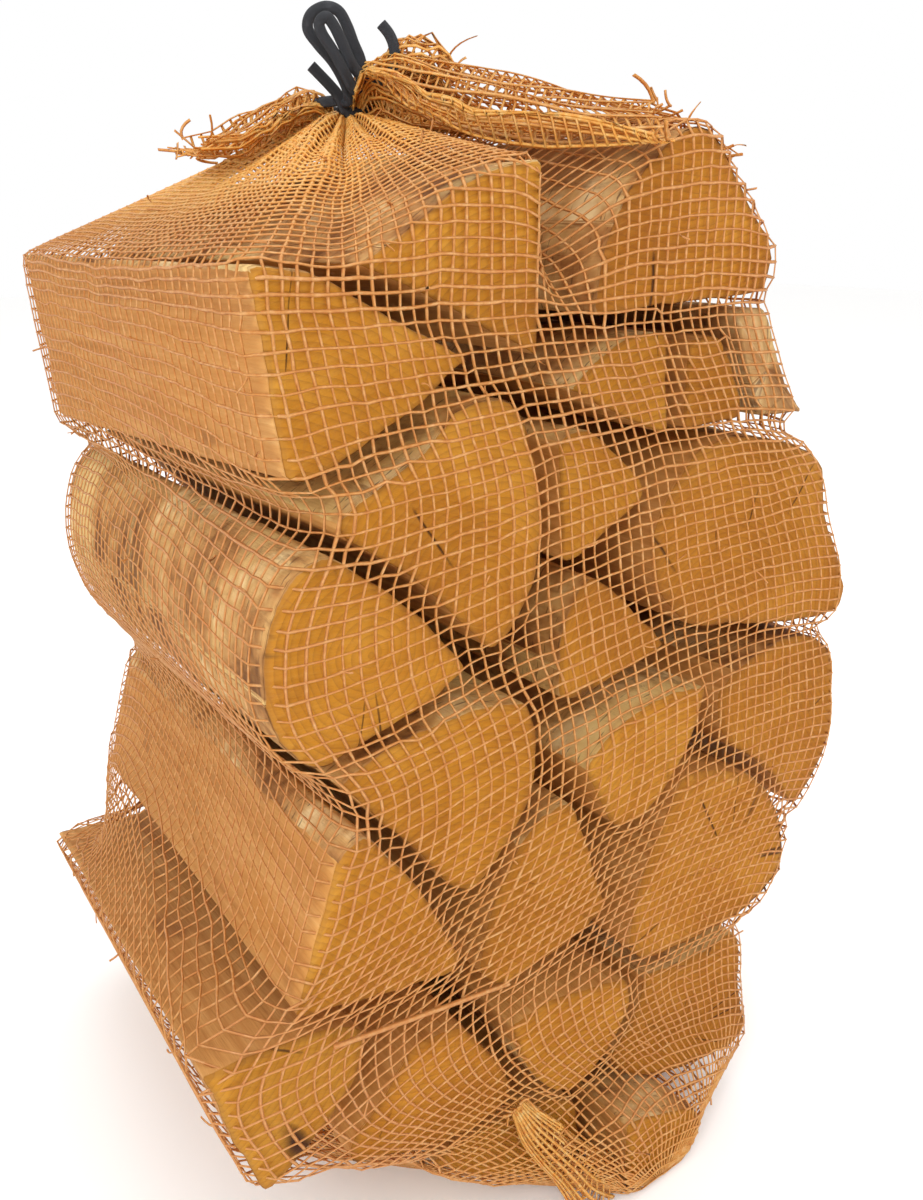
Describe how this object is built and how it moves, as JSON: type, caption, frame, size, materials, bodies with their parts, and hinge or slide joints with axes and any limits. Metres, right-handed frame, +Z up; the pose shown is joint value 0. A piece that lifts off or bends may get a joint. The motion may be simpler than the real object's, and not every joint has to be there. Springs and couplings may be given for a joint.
{
  "type": "net sack of firewood",
  "caption": "Net sack packed with split birch logs lying front to back, its gathered mouth tied on top with a black cord.",
  "frame": {"origin": "middle of the bounding box in plan, on the flat base the sack stands on", "axes": "+Z up to the tied mouth, -Y out of the sawn log ends, X across the log ends"},
  "size_m": [0.2992, 0.2784, 0.441],
  "materials": {
    "birch_wood": "raw split and sawn birch with pale bark on the rounded side",
    "orange_net": "woven plastic thread, slightly glossy",
    "black_cord": "matt braided cord"
  },
  "bodies": {
    "root": {"log_top_left": "birch_wood", "log_top_middle": "birch_wood", "log_top_right": "birch_wood", "log_small_wedge": "birch_wood", "log_small_block": "birch_wood", "log_bark_slab": "birch_wood", "log_centre_round": "birch_wood", "log_centre_sliver": "birch_wood", "log_right_big": "birch_wood", "log_centre_block": "birch_wood", "log_left_bark": "birch_wood", "log_middle_left": "birch_wood", "log_leaf_wedge": "birch_wood", "log_right_middle": "birch_wood", "log_right_low": "birch_wood", "log_middle_low": "birch_wood", "log_left_split": "birch_wood", "log_left_skewed": "birch_wood", "log_low_left": "birch_wood", "log_low_round": "birch_wood", "log_low_right": "birch_wood", "log_base_slab": "birch_wood", "log_base_round": "birch_wood", "log_base_hidden": "birch_wood", "net_sack": "orange_net", "tie_cord": "black_cord"}
  },
  "joints": []
}
